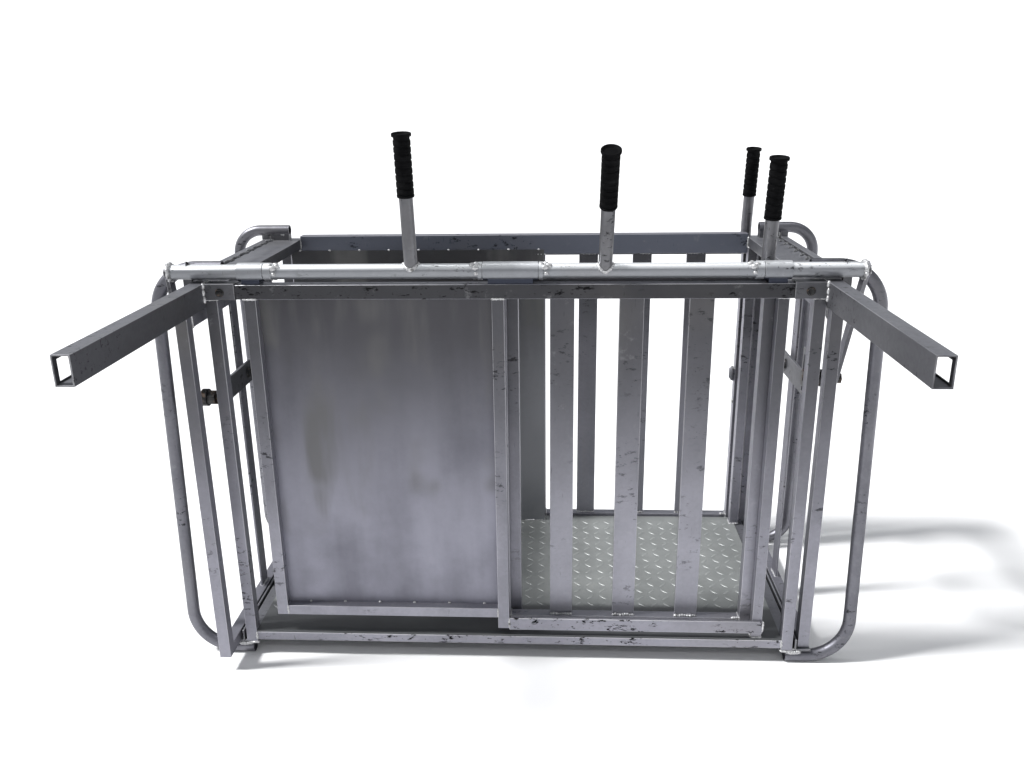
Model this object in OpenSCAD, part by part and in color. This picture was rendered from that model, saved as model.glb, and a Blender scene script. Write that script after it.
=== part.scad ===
// Livestock weighing crate: a welded tube frame with a tread floor, a sliding gate at each end
// worked by a lever and crank, and a sliding slatted door on each long side.
// Millimetres. X runs along the crate, Y to the back, Z up from the ground.

/* [Crate] */
// Gap from the shut front door's edge to the right corner post, which sets the crate's length
corner_gap = 64.5; // [50:0.5:200]
// Width over the top rails
crate_w = 600; // [500:1:900]
// Height of the front rail's top face above the ground
rail_top = 865; // [780:1:1000]
// Height of the floor's tread surface above the ground
floor_top = 61; // [50:1:90]

/* [Tube sections] */
// Side of the square post, gate and door tube
post_s = 25; // [20:1:30]
// Side of the square front rail tube
rail_s = 30; // [25:1:40]
// Height of the back rail tube
back_rail_h = 50; // [40:1:60]
// Width of an end rail over its two tubes
end_rail_w = 72; // [60:1:80]
// Wall of every tube
wall = 2.5; // [1.5:0.5:4]
// Outside diameter of the bent hoop tube and the handle stems
pipe_d = 27; // [21:0.5:34]

/* [Hoops] */
// Distance from the corner posts out to the upright of each hoop
hoop_out = 124; // [110:1:180]
// Bend radius of the front hoops on the tube's centre line
hoop_bend = 90; // [70:1:95]
// Bend radius of the back hoops on the tube's centre line
hoop_back_bend = 62; // [50:1:70]
// How far the upper arm of a front hoop leans in over the crate
hoop_lean = 45; // [0:1:60]

/* [Levers] */
// Outside diameter of the cross shafts
shaft_d = 30; // [25:0.5:34]
// Lever length from the shaft axis to the end of the grip
lever_r = 270; // [200:1:350]
// Crank length from the shaft axis to the crank pin
crank_r = 285; // [240:1:320]
// Forward lean of the left lever
lean_left = 8.5; // [0:0.5:26]
// Forward lean of the right lever
lean_right = 24.5; // [0:0.5:26]
// Angle by which the right lever is welded ahead of its crank
lever_set = 3.5; // [0:0.5:6]
// Left lever's place along the crate
lever_left_x = -198; // [-400:1:-100]
// Right lever's place along the crate
lever_right_x = 187; // [100:1:400]
// Backward limit of the levers, which sets the height of the slot in the gate bar
lever_back_max = 40; // [20:1:45]
// Radial running clearance between a shaft and its bearing
run_gap = 0.05; // [0.02:0.01:0.1]

/* [Grips] */
// Outside diameter over the grip's ribs
grip_d = 33.5; // [33:0.5:44]
// Grip length
grip_l = 120; // [100:1:150]
// Ribs on a grip
grip_ribs = 8; // [6:1:14]

/* [End gates] */
// How much shorter a gate is than the crate is wide
gate_short = 65; // [50:1:120]
// Gate height at the top of its upper runner
gate_top = 813; // [700:1:900]
// Height of the middle of the gate's flat cross bar
gate_bar_z = 614; // [500:0.5:700]
// Distance from the gate's front edge to the slot for the crank pin
gate_slot_y = 125; // [80:1:200]

/* [Outrigger arms] */
// Reach of an arm in front of the front rail
arm_out = 510; // [300:1:600]
// Height of an arm's tube
arm_h = 50; // [40:1:60]
// Width of an arm's tube
arm_w = 30; // [25:1:40]
// Distance of the window in an arm's outer wall from its free end
window_in = 13; // [8:1:40]
// Length of the window along the arm
window_l = 70; // [40:1:200]
// Height of the window
window_h = 34; // [20:1:40]
// Metal left under the window
window_up = 5.5; // [4:0.5:12]

/* [Side doors] */
// Door length
door_l = 566; // [500:1:600]
// Left edge of the front door when shut
door_x = -36.5; // [-40:0.5:-20]
// Shift of the back door along the crate from the front one
back_door_shift = 73; // [60:1:80]
// Width of a slat
slat_w = 50; // [40:1:60]
// Slats in a door
slats = 3; // [2:1:4]

/* [Hidden] */
$fn = 64;
zinc = [0.64, 0.66, 0.68];
dull = [0.52, 0.54, 0.53];
black = [0.06, 0.06, 0.07];

// Slack that keeps sliding pieces clear of what guides them
slide_gap = 3;
// Slack under a gate's runner and a door's bottom rail
ride_gap = 0.3;
// Slack between a bolt and its hole, and between a grip and its stem
bolt_gap = 0.3;
grip_gap = 0.05;

post_x0 = door_x + door_l + corner_gap;
post_x1 = post_x0 + post_s;
hoop_x = post_x1 + hoop_out;
pipe_r = pipe_d / 2;
shaft_r = shaft_d / 2;
rail_bot = rail_top - rail_s;
floor_t = 4;
sill_h = 20;
sill_top = floor_top - floor_t;
sill_bot = sill_top - sill_h;

// Overall depth is centred on Y = 0, so this is the front face of the front rail
keeper_t = 5;
back_door_y = crate_w + slide_gap;
keeper_back_y = back_door_y + post_s + slide_gap;
depth_back = keeper_back_y + keeper_t;
y_front = (arm_out - depth_back) / 2;

// Back posts stand further out than the front ones
back_post_x0 = post_x0 + 17;
back_post_x1 = back_post_x0 + post_s;

// End rails are two tubes side by side, a little above the front rail's top, the back rail higher again
end_rail_x1 = post_x1 + 34;
end_rail_x0 = end_rail_x1 - end_rail_w;
end_rail_top = rail_top + 3;
end_rail_bot = end_rail_top - post_s;
back_rail_top = rail_top + 12;
back_rail_bot = back_rail_top - back_rail_h;

// Shaft axis above the front rail
shaft_y = rail_s / 2;
shaft_z = rail_top + 24;
shaft_out = 70;
shaft_x1 = post_x1 + shaft_out;
bearing_r = shaft_r + 3.5;
bearing_mid_x = 55;
bearing_w = 53;
bearing_in = 44.5;
bearing_end_x1 = post_x0 - bearing_in;
bearing_end_x0 = bearing_end_x1 - bearing_w;
mid_stop_w = 8;
end_stop_w = 14;
stop_gap = 1.5;
stop_r = shaft_r + 3;

// Gate guide along each end: a track plate with an inner lip
track_w = 41;
track_x1 = post_x1 + track_w;
track_z0 = 30;
track_t = 5;
lip_in = 5;
lip_x0 = post_x1 + lip_in;
lip_t = 4;
gate_out = 13.5;
gate_x0 = post_x1 + gate_out;
gate_x1 = gate_x0 + post_s;
gate_bot = track_z0 + track_t + ride_gap;
gate_bar_t = 6;
gate_bar_h = 50;
shoe_t = 3;
gate_l = crate_w - gate_short;
gate_flat_t = 5;
gate_flat_w = 40;

// Crank pin and the slot it works in
pin_r = 7;
pin_washer_t = 3;
pin_spacer = 10;
crank_t = 8;
crank_w = 25;
slot_w = 2 * pin_r + 13;
slot_wall = 6;
slot_cap = 15;
slot_bot = shaft_z - crank_r - pin_r - 1;
slot_top = shaft_z - crank_r * cos(lever_back_max) + pin_r + 2;
retainer_r = slot_w / 2 + 4.5;

// Front panel, beside the front doorway
panel_gap = 54;
panel_x0 = panel_gap - post_x0;
panel_x1 = door_x + 23.5;
panel_stile = 25;
panel_bot = 105;
panel_rail_h = 23;
panel_foot = 78;
sheet_t = 2;
front_track_z0 = 74;
front_track_h = 30;
front_track_t = 6;
close_x0 = door_x + door_l - 2.5;
close_w = 22;
back_close_w = 23;
back_close_in = 17;

// Doors ride just behind the rail they belong to
front_door_y = rail_s + slide_gap;
door_bot = floor_top + ride_gap;
door_foot_h = 30;
door_top = rail_top + 6;
slat_t = 8;
slat_pitch = (door_l - 2) / (slats + 1);
slat_x = slat_pitch - 1.5;
handle_x = door_l - 18;
handle_y = 19;
handle_up = 44;
back_handle_up = 52;
handle_lean = 9;
handle_l = 190;
cap_t = 8;

// The back door runs lower, in a channel on the back of the sill
back_door_drop = floor_top - sill_bot;
channel_t = 4;
channel_lip = 24;

// Floor: the joist under it, and how far it stays in from the sills' faces
joist_w = 40;
floor_in = 2;

// Arm bracket and its bolt
arm_bolt_r = 4;
bracket_l = 63;
arm_bolt_in = 33;
arm_bolt_down = 15;

// Puts a piece drawn from the front face of the front rail into the part's frame
module crate() {
  translate([0, y_front, 0])
    children();
}

// Right-hand end as drawn, left-hand end mirrored
module side(s) {
  if (s > 0)
    children();
  else
    mirror([1, 0, 0])
      children();
}

// Box between three pairs of limits
module block(x, y, z) {
  translate([x[0], y[0], z[0]])
    cube([x[1] - x[0], y[1] - y[0], z[1] - z[0]]);
}

// Box tube, open at both ends along axis a: 0 for X, 1 for Y, 2 for Z
module box_tube(x, y, z, a) {
  ix = a == 0 ? [x[0] - 1, x[1] + 1] : [x[0] + wall, x[1] - wall];
  iy = a == 1 ? [y[0] - 1, y[1] + 1] : [y[0] + wall, y[1] - wall];
  iz = a == 2 ? [z[0] - 1, z[1] + 1] : [z[0] + wall, z[1] - wall];
  difference() {
    block(x, y, z);
    block(ix, iy, iz);
  }
}

// Round bar along X
module rod_x(x0, x1, y, z, r) {
  translate([x0, y, z])
    rotate([0, 90, 0])
      cylinder(r = r, h = x1 - x0);
}

// Quarter bend of radius b in the X-Z plane about the origin, starting at angle a from +X
module quarter_bend(a, b, r) {
  rotate([90, 0, 0])
    rotate([0, 0, a])
      rotate_extrude(angle = 90)
        translate([b, 0])
          circle(r = r);
}

// Hoop on its lower arm's axis, h tall, drawn with bend b, tube radius r and arms run out by e
module hoop_solid(x_low, x_high, h, b, r, e) {
  bend_x = hoop_x - b;
  rod_x(x_low - e, bend_x, 0, 0, r);
  translate([bend_x, 0, b])
    quarter_bend(-90, b, r);
  translate([hoop_x, 0, b])
    cylinder(r = r, h = h - 2 * b);
  translate([bend_x, 0, h - b])
    quarter_bend(0, b, r);
  rod_x(x_high - e, bend_x, 0, h, r);
}

// Places of the front and back hoops: [y low, y high, z high, x low end, x high end, bend]
hoop_seat = 9;
hoop_back_seat = 12.5;
hoop_front = [12, 12 + hoop_lean, end_rail_top + hoop_seat + pipe_r, post_x1 - 14, post_x1 - 22, hoop_bend];
hoop_back = [crate_w - 32, crate_w - 38, end_rail_top + hoop_back_seat + pipe_r, post_x1 - 14, post_x1 - 15,
             hoop_back_bend];
saddle_half = 11;
track_lap = 9;
saddle_out = 20;
saddle_lap = 4;

module hoop_place(p, r, e) {
  rise = p[2] - pipe_r;
  run = p[1] - p[0];
  translate([0, p[0], pipe_r])
    rotate([-atan(run / rise), 0, 0])
      hoop_solid(p[3], p[4], sqrt(rise * rise + run * run), p[5], r, e);
}

module hoop(s, p) {
  color(zinc)
    crate()
      side(s)
        difference() {
          hoop_place(p, pipe_r, 0);
          hoop_place(p, pipe_r - wall, 1);
        }
}

// Frame
module front_rail() {
  color(zinc)
    crate()
      difference() {
        box_tube([-post_x1, post_x1], [0, rail_s], [rail_bot, rail_top], 0);
        for (s = [-1, 1])
          translate([s * (post_x1 - arm_bolt_in), -1, rail_top - arm_bolt_down])
            rotate([-90, 0, 0])
              cylinder(r = arm_bolt_r + bolt_gap, h = wall + 2);
      }
}

module back_rail() {
  color(zinc)
    crate()
      box_tube([-end_rail_x0, end_rail_x0], [crate_w - rail_s, crate_w], [back_rail_bot, back_rail_top], 0);
}

// Block under the upper arm of hoop p, from z0 up round the tube's underside
module saddle(p, x, z0) {
  difference() {
    block(x, [p[1] - saddle_half, p[1] + saddle_half], [z0, p[2] - saddle_lap]);
    hoop_place(p, pipe_r, 1);
  }
}

module end_rail(s) {
  color(zinc)
    crate()
      side(s) {
        box_tube([end_rail_x0, post_x1], [rail_s, crate_w], [end_rail_bot, end_rail_top], 1);
        box_tube([post_x1 - wall, end_rail_x1], [rail_s, crate_w], [end_rail_bot, end_rail_top], 1);
        for (p = [hoop_front, hoop_back])
          saddle(p, [p[4], end_rail_x1], end_rail_top);
      }
}

// Strip beside an end rail, carried by the upper arms of both hoops; the gate's shoe runs in the slot
strip_gap = 5;
strip_w = 18;
strip_h = 20;
strip_up = 3;

module outer_strip(s) {
  x = [end_rail_x1 + strip_gap, end_rail_x1 + strip_gap + strip_w];
  z1 = end_rail_top + strip_up;
  color(zinc)
    crate()
      side(s) {
        block(x, [rail_s + 8, hoop_back[1] + saddle_half], [z1 - strip_h, z1]);
        for (p = [hoop_front, hoop_back])
          saddle(p, x, z1);
      }
}

module post_front(s) {
  color(zinc)
    crate()
      side(s)
        box_tube([post_x0, post_x1], [0, post_s], [track_z0, rail_bot], 2);
}

module post_back(s) {
  color(zinc)
    crate()
      side(s)
        box_tube([back_post_x0, back_post_x1], [crate_w - post_s, crate_w],
                 [track_z0 + track_t, end_rail_bot], 2);
}

module front_sill() {
  color(zinc)
    crate()
      box_tube([-post_x0, post_x0], [0, post_s], [sill_bot, sill_top], 0);
}

module back_sill() {
  color(zinc)
    crate()
      box_tube([-back_post_x0, back_post_x0], [crate_w - post_s, crate_w], [sill_bot, sill_top], 0);
}

module end_sill(s) {
  color(zinc)
    crate()
      side(s)
        box_tube([post_x0, post_x1], [post_s, crate_w - post_s], [sill_bot, sill_top], 1);
}

module floor_joist() {
  color(zinc)
    crate()
      box_tube([-joist_w / 2, joist_w / 2], [post_s, crate_w - post_s], [sill_bot, sill_top], 1);
}

module floor_plate() {
  color(dull)
    crate()
      block([-post_x0, post_x0], [floor_in, crate_w - floor_in], [sill_top, floor_top]);
}

// Track plate with its inner lip, and the saddle blocks that seat it and the posts on the hoops
module gate_track(s) {
  z1 = track_z0 + track_t;
  color(zinc)
    crate()
      side(s) {
        block([post_x1, track_x1], [0, crate_w], [track_z0, z1]);
        block([lip_x0, lip_x0 + lip_t], [0, crate_w - post_s], [z1 - 1, z1 + post_s]);
        for (p = [hoop_front, hoop_back])
          difference() {
            block([p[3], post_x1 + saddle_out], [p[0] - saddle_half, p[0] + saddle_half],
                  [pipe_d - track_lap, track_z0]);
            rod_x(p[3] - 1, post_x1 + saddle_out + 1, p[0], pipe_r, pipe_r);
          }
      }
}

// Outrigger arm with a window in its outer wall, and the angle bracket that bolts it on the front rail
module arm(s) {
  x0 = post_x1 - bracket_l;
  color(zinc)
    crate()
      side(s) {
        difference() {
          box_tube([post_x1, post_x1 + arm_w], [-arm_out, rail_s], [end_rail_top - arm_h, end_rail_top], 1);
          translate([post_x1 + arm_w, window_in - arm_out, end_rail_top - arm_h + window_up])
            block([-wall - 1, 1], [0, window_l], [0, window_h]);
        }
        difference() {
          union() {
            block([x0, post_x1], [-3, 0], [rail_bot, end_rail_top]);
            block([x0, post_x1], [-1, rail_s], [rail_top, end_rail_top]);
          }
          translate([post_x1 - arm_bolt_in, -5, rail_top - arm_bolt_down])
            rotate([-90, 0, 0])
              cylinder(r = arm_bolt_r + bolt_gap, h = 10);
        }
      }
}

module arm_bolt(s) {
  color(dull)
    crate()
      side(s)
        translate([post_x1 - arm_bolt_in, -3, rail_top - arm_bolt_down])
          rotate([-90, 0, 0]) {
            cylinder(r = arm_bolt_r, h = rail_s - wall - 4);
            translate([0, 0, -1.5])
              cylinder(r = 2.2 * arm_bolt_r, h = 1.5);
            translate([0, 0, -7])
              cylinder(r = 1.85 * arm_bolt_r, h = 5.5, $fn = 6);
          }
}

// Shaft bearings on pads on the front rail
module bearing(x0, x1, inset) {
  color(zinc)
    crate()
      difference() {
        union() {
          rod_x(x0, x1, shaft_y, shaft_z, bearing_r);
          block([x0 + inset, x1 - inset], [shaft_y - 12, shaft_y + 12], [rail_top, shaft_z]);
        }
        rod_x(x0 - 1, x1 + 1, shaft_y, shaft_z, shaft_r + run_gap);
      }
}

module bearing_left() {
  bearing(-bearing_end_x1, -bearing_end_x0, 8);
}

module bearing_mid() {
  bearing(-bearing_mid_x, bearing_mid_x, 10);
}

module bearing_right() {
  bearing(bearing_end_x0, bearing_end_x1, 8);
}

// Front panel and the fixed pieces round the front doorway
module front_panel_frame() {
  color(zinc)
    crate() {
      box_tube([panel_x0, panel_x0 + panel_stile], [0, post_s], [panel_bot, rail_bot], 2);
      box_tube([panel_x1 - panel_stile, panel_x1], [0, post_s], [panel_foot, rail_bot], 2);
      box_tube([panel_x0 + panel_stile, panel_x1 - panel_stile], [0, post_s],
               [panel_bot, panel_bot + panel_rail_h], 0);
    }
}

module front_sheet() {
  color(dull)
    crate()
      block([panel_x0 + panel_stile, panel_x1 - panel_stile], [post_s - 4, post_s - 4 + sheet_t],
            [panel_bot + panel_rail_h, rail_bot]);
}

module front_track() {
  color(zinc)
    crate()
      block([panel_x1, close_x0 + close_w + 1], [0, front_track_t],
            [front_track_z0, front_track_z0 + front_track_h]);
}

module front_close_post() {
  color(zinc)
    crate()
      box_tube([close_x0, close_x0 + close_w], [front_track_t, rail_s], [floor_top, rail_bot], 2);
}

keeper_front_y = front_door_y + post_s + slide_gap;
keeper_z1 = rail_top - 12;
keeper_h = 30;

module front_keeper() {
  color(zinc)
    crate()
      block([-end_rail_x0, end_rail_x0], [keeper_front_y, keeper_front_y + keeper_t],
            [keeper_z1 - keeper_h, keeper_z1]);
}

module front_inner_post() {
  y0 = keeper_front_y + keeper_t;
  color(zinc)
    crate()
      box_tube([-post_s / 2, post_s / 2], [y0, y0 + post_s], [floor_top, keeper_z1], 2);
}

// Back sheet, lapped on the back rail's inner face, and the fixed pieces round the back doorway
back_sheet_x1 = door_x + back_door_shift + 22;

module back_sheet() {
  y1 = crate_w - rail_s;
  color(dull)
    crate()
      block([4 - back_post_x0, back_sheet_x1], [y1 - sheet_t, y1], [floor_top, back_rail_bot + 12]);
}

module back_mid_post() {
  y0 = crate_w - rail_s;
  color(zinc)
    crate()
      box_tube([back_sheet_x1 - post_s, back_sheet_x1], [y0, y0 + post_s], [floor_top, back_rail_bot], 2);
}

// Post that the back door shuts against, on the floor's edge and under the end rail
module back_close_post() {
  y1 = crate_w - back_close_in;
  color(zinc)
    crate()
      box_tube([end_rail_x0, end_rail_x0 + back_close_w], [y1 - post_s, y1], [floor_top, end_rail_bot], 2);
}

module back_track() {
  y1 = back_door_y + post_s + 2 * slide_gap;
  x = [panel_x0 - 5, back_post_x0];
  z0 = sill_bot - channel_t;
  color(zinc)
    crate() {
      block(x, [crate_w, back_door_y - 1], [z0, sill_top]);
      block(x, [crate_w, y1], [z0, sill_bot]);
      block(x, [y1 - channel_t, y1], [z0, sill_bot + channel_lip]);
    }
}

module back_keeper() {
  z1 = door_top - back_door_drop - slide_gap;
  z = [z1 - keeper_h, z1];
  color(zinc)
    crate() {
      block([-back_post_x1, back_post_x1], [keeper_back_y, depth_back], z);
      for (s = [-1, 1])
        side(s)
          block([back_post_x1 - 13, back_post_x1], [crate_w, keeper_back_y + 1], z);
    }
}

// Lever shafts, cranks and grips
module shaft(s) {
  stops = [[bearing_mid_x + stop_gap, mid_stop_w], [bearing_end_x0 - stop_gap - end_stop_w, end_stop_w]];
  color(zinc)
    crate()
      side(s)
        difference() {
          union() {
            rod_x(1, shaft_x1, shaft_y, shaft_z, shaft_r);
            for (p = stops)
              rod_x(p[0], p[0] + p[1], shaft_y, shaft_z, stop_r);
          }
          rod_x(0, shaft_x1 + 1, shaft_y, shaft_z, shaft_r - 3);
        }
}

module shaft_left() {
  shaft(-1);
}

module shaft_right() {
  shaft(1);
}

// Turns a piece drawn upright on the shaft axis to its lever's lean
module on_shaft(x, lean) {
  crate()
    translate([x, shaft_y, shaft_z])
      rotate([lean, 0, 0])
        children();
}

module lever(x, lean) {
  color(zinc)
    on_shaft(x, lean)
      difference() {
        cylinder(r = pipe_r, h = lever_r - cap_t);
        cylinder(r = pipe_r - wall, h = lever_r);
        rod_x(-pipe_d, pipe_d, 0, 0, shaft_r);
      }
}

// Ribbed grip with a flanged, dished end, standing on its open mouth
module grip_body() {
  pitch = (grip_l - 16) / grip_ribs;
  difference() {
    union() {
      cylinder(r = grip_d / 2 - 1.2, h = grip_l);
      cylinder(r = grip_d / 2 + 0.3, h = 5);
      for (i = [0 : grip_ribs - 1])
        translate([0, 0, 7 + i * pitch])
          cylinder(r = grip_d / 2, h = pitch * 0.68);
      translate([0, 0, grip_l - 6])
        cylinder(r = grip_d / 2 + 2.2, h = 6);
    }
    translate([0, 0, -1])
      cylinder(r = pipe_r + grip_gap, h = grip_l - cap_t + 1);
    translate([0, 0, grip_l - 4])
      cylinder(r1 = grip_d / 2 - 4, r2 = grip_d / 2 + 0.5, h = 4.2);
  }
}

module lever_grip(x, lean) {
  color(black)
    on_shaft(x, lean)
      translate([0, 0, lever_r - grip_l])
        grip_body();
}

module crank(s, lean) {
  color(zinc)
    side(s)
      on_shaft(shaft_x1, lean)
        difference() {
          union() {
            block([0, crank_t], [-crank_w / 2, crank_w / 2], [-crank_r, 0]);
            rod_x(0, crank_t, 0, -crank_r, crank_w / 2);
            rod_x(0, crank_t, 0, 0, shaft_r + 2);
          }
          rod_x(-1, crank_t + 1, 0, -crank_r, pin_r + bolt_gap);
        }
}

module crank_pin(s, lean) {
  in_x = gate_x0 - gate_bar_t - 0.5 - shaft_x1;
  out_x = gate_x0 + 1 - shaft_x1;
  room = -pin_spacer - out_x - pin_washer_t;
  nut_x = out_x + pin_washer_t + 0.15 * room;
  color(dull)
    side(s)
      on_shaft(shaft_x1, lean)
        translate([0, 0, -crank_r]) {
          rod_x(in_x - 4, crank_t, 0, 0, pin_r);
          rod_x(in_x - pin_washer_t, in_x, 0, 0, retainer_r);
          rod_x(out_x, out_x + pin_washer_t, 0, 0, retainer_r - 2);
          translate([nut_x, 0, 0])
            rotate([0, 90, 0])
              cylinder(r = pin_r + 10, h = 0.4 * room, $fn = 6);
          rod_x(nut_x + 0.4 * room, nut_x + 0.7 * room, 0, 0, pin_r + 12);
          rod_x(-pin_spacer, 0, 0, 0, pin_r + 4);
          translate([crank_t, 0, 0])
            rotate([0, 90, 0])
              cylinder(r = pin_r + 5, h = 8, $fn = 6);
        }
}

// End gates: the crank pin's place at rest sets where each gate stands
module at_gate(s, lean) {
  crate()
    side(s)
      translate([0, shaft_y + crank_r * sin(lean) - gate_slot_y, 0])
        children();
}

gate_mid_y = gate_l / 2 - 5.5;
flat_x0 = (gate_x0 + gate_x1 - gate_flat_t) / 2;

module gate(s, lean) {
  gx = [gate_x0, gate_x1];
  shoe_x1 = gate_x1 - 0.5;
  color(zinc)
    at_gate(s, lean) {
      for (y = [0, gate_l - post_s])
        box_tube(gx, [y, y + post_s], [gate_bot, gate_top], 2);
      for (z = [gate_bot, gate_top - post_s])
        box_tube(gx, [post_s, gate_l - post_s], [z, z + post_s], 1);
      block([flat_x0, flat_x0 + gate_flat_t], [gate_mid_y, gate_mid_y + gate_flat_w],
            [gate_bot + post_s - 1, gate_top - post_s + 1]);
      block([shoe_x1 - shoe_t, shoe_x1], [gate_l - 40, gate_l - 5], [gate_top - wall, end_rail_top - 2]);
    }
}

module gate_bar(s, lean) {
  bx = [gate_x0 - gate_bar_t, gate_x0];
  z0 = gate_bar_z - gate_bar_h / 2;
  half = slot_w / 2;
  y0 = gate_slot_y - half - slot_wall;
  foot_z = min(z0, slot_bot - slot_wall);
  color(zinc)
    at_gate(s, lean)
      difference() {
        union() {
          block(bx, [y0, gate_l], [z0, z0 + gate_bar_h]);
          block(bx, [y0, gate_slot_y + half + slot_wall], [foot_z, slot_top + slot_cap]);
          rod_x(bx[0] - 3, flat_x0, gate_mid_y + gate_flat_w / 2, gate_bar_z, 9);
        }
        block([bx[0] - 1, bx[1] + 1], [gate_slot_y - half, gate_slot_y + half], [slot_bot, slot_top]);
      }
}

// Side doors: a tube frame with flat slats and one bent handle on the leading stile
module at_door(back) {
  crate()
    translate([door_x + (back ? back_door_shift : 0), back ? back_door_y : front_door_y,
               back ? -back_door_drop : 0])
      children();
}

module door(back) {
  dy = [0, post_s];
  rail_z = door_top - post_s;
  foot_z = door_bot + door_foot_h;
  color(zinc)
    at_door(back) {
      box_tube([0, door_l], dy, [rail_z, door_top], 0);
      box_tube([0, post_s], dy, [door_bot, rail_z], 2);
      box_tube([door_l - post_s, door_l], dy, [door_bot, rail_z], 2);
      box_tube([post_s, door_l - post_s], dy, [door_bot, foot_z], 0);
      for (i = [0 : slats - 1])
        translate([slat_x + i * slat_pitch - slat_w / 2, (post_s - slat_t) / 2, foot_z])
          cube([slat_w, slat_t, rail_z - foot_z]);
    }
}

// Handle stem drawn with radius r: upright by up first, then leaning to the front
module stem_solid(up, r, l, e) {
  translate([0, 0, -e])
    cylinder(r = r, h = up + e);
  translate([0, 0, up]) {
    sphere(r = r);
    rotate([handle_lean, 0, 0])
      cylinder(r = r, h = l);
  }
}

module door_handle(back) {
  up = back ? back_handle_up : handle_up;
  color(zinc)
    at_door(back)
      translate([handle_x, handle_y, door_top])
        difference() {
          stem_solid(up, pipe_r, handle_l - cap_t, 0);
          stem_solid(up, pipe_r - wall, handle_l, 1);
        }
}

module door_grip(back) {
  up = back ? back_handle_up : handle_up;
  color(black)
    at_door(back)
      translate([handle_x, handle_y, door_top + up])
        rotate([handle_lean, 0, 0])
          translate([0, 0, handle_l - grip_l])
            grip_body();
}

module end_rail_left() { end_rail(-1); }
module end_rail_right() { end_rail(1); }
module outer_strip_left() { outer_strip(-1); }
module outer_strip_right() { outer_strip(1); }
module post_front_left() { post_front(-1); }
module post_front_right() { post_front(1); }
module post_back_left() { post_back(-1); }
module post_back_right() { post_back(1); }
module end_sill_left() { end_sill(-1); }
module end_sill_right() { end_sill(1); }
module hoop_front_left() { hoop(-1, hoop_front); }
module hoop_front_right() { hoop(1, hoop_front); }
module hoop_back_left() { hoop(-1, hoop_back); }
module hoop_back_right() { hoop(1, hoop_back); }
module gate_track_left() { gate_track(-1); }
module gate_track_right() { gate_track(1); }
module arm_left() { arm(-1); }
module arm_right() { arm(1); }
module arm_bolt_left() { arm_bolt(-1); }
module arm_bolt_right() { arm_bolt(1); }
module lever_left() { lever(lever_left_x, lean_left); }
module lever_right() { lever(lever_right_x, lean_right + lever_set); }
module lever_grip_left() { lever_grip(lever_left_x, lean_left); }
module lever_grip_right() { lever_grip(lever_right_x, lean_right + lever_set); }
module crank_left() { crank(-1, lean_left); }
module crank_right() { crank(1, lean_right); }
module crank_pin_left() { crank_pin(-1, lean_left); }
module crank_pin_right() { crank_pin(1, lean_right); }
module gate_left() { gate(-1, lean_left); }
module gate_right() { gate(1, lean_right); }
module gate_bar_left() { gate_bar(-1, lean_left); }
module gate_bar_right() { gate_bar(1, lean_right); }
module front_door() { door(false); }
module back_door() { door(true); }
module front_door_handle() { door_handle(false); }
module back_door_handle() { door_handle(true); }
module front_door_grip() { door_grip(false); }
module back_door_grip() { door_grip(true); }

front_rail();
back_rail();
end_rail_left();
end_rail_right();
outer_strip_left();
outer_strip_right();
post_front_left();
post_front_right();
post_back_left();
post_back_right();
front_sill();
back_sill();
end_sill_left();
end_sill_right();
floor_joist();
floor_plate();
hoop_front_left();
hoop_front_right();
hoop_back_left();
hoop_back_right();
gate_track_left();
gate_track_right();
arm_left();
arm_right();
arm_bolt_left();
arm_bolt_right();
bearing_left();
bearing_mid();
bearing_right();
front_panel_frame();
front_sheet();
front_track();
front_close_post();
front_keeper();
front_inner_post();
back_sheet();
back_mid_post();
back_close_post();
back_track();
back_keeper();
shaft_left();
lever_left();
lever_grip_left();
crank_left();
crank_pin_left();
shaft_right();
lever_right();
lever_grip_right();
crank_right();
crank_pin_right();
gate_left();
gate_bar_left();
gate_right();
gate_bar_right();
front_door();
front_door_handle();
front_door_grip();
back_door();
back_door_handle();
back_door_grip();
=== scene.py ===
"""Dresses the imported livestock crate: finishes, weld beads, tread lugs, studio light and camera."""

import logging
import math
from dataclasses import dataclass, field
from enum import Enum
from typing import Iterable, Sequence, Union

import bmesh
import bpy
from mathutils import Matrix, Vector, noise


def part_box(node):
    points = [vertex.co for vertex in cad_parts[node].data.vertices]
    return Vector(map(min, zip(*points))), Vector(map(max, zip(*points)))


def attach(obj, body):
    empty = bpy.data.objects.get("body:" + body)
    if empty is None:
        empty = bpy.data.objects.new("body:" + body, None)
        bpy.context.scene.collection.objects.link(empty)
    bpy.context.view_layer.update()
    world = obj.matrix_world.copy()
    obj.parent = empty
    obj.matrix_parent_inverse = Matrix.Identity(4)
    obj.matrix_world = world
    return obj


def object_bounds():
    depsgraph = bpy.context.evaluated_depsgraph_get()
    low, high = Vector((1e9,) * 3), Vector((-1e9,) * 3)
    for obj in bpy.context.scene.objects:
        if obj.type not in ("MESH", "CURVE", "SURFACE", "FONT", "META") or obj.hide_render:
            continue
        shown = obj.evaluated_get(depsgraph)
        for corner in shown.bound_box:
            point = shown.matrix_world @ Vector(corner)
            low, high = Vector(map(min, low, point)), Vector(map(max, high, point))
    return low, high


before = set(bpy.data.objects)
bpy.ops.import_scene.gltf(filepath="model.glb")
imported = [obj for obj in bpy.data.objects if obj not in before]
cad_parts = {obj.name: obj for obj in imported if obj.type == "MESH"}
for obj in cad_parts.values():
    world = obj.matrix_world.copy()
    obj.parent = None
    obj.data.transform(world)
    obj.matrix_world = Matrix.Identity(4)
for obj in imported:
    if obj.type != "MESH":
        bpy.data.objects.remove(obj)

CAD_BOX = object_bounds()
LOG = logging.getLogger("crate")
Value = Union["Sock", int, float]
Triple = tuple[float, float, float]
Pair = tuple[float, float]
Point = Union[Vector, Triple]
Ring = list[bmesh.types.BMVert]
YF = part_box("front_rail")[0].y
SIDES = ("left", "right")
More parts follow.
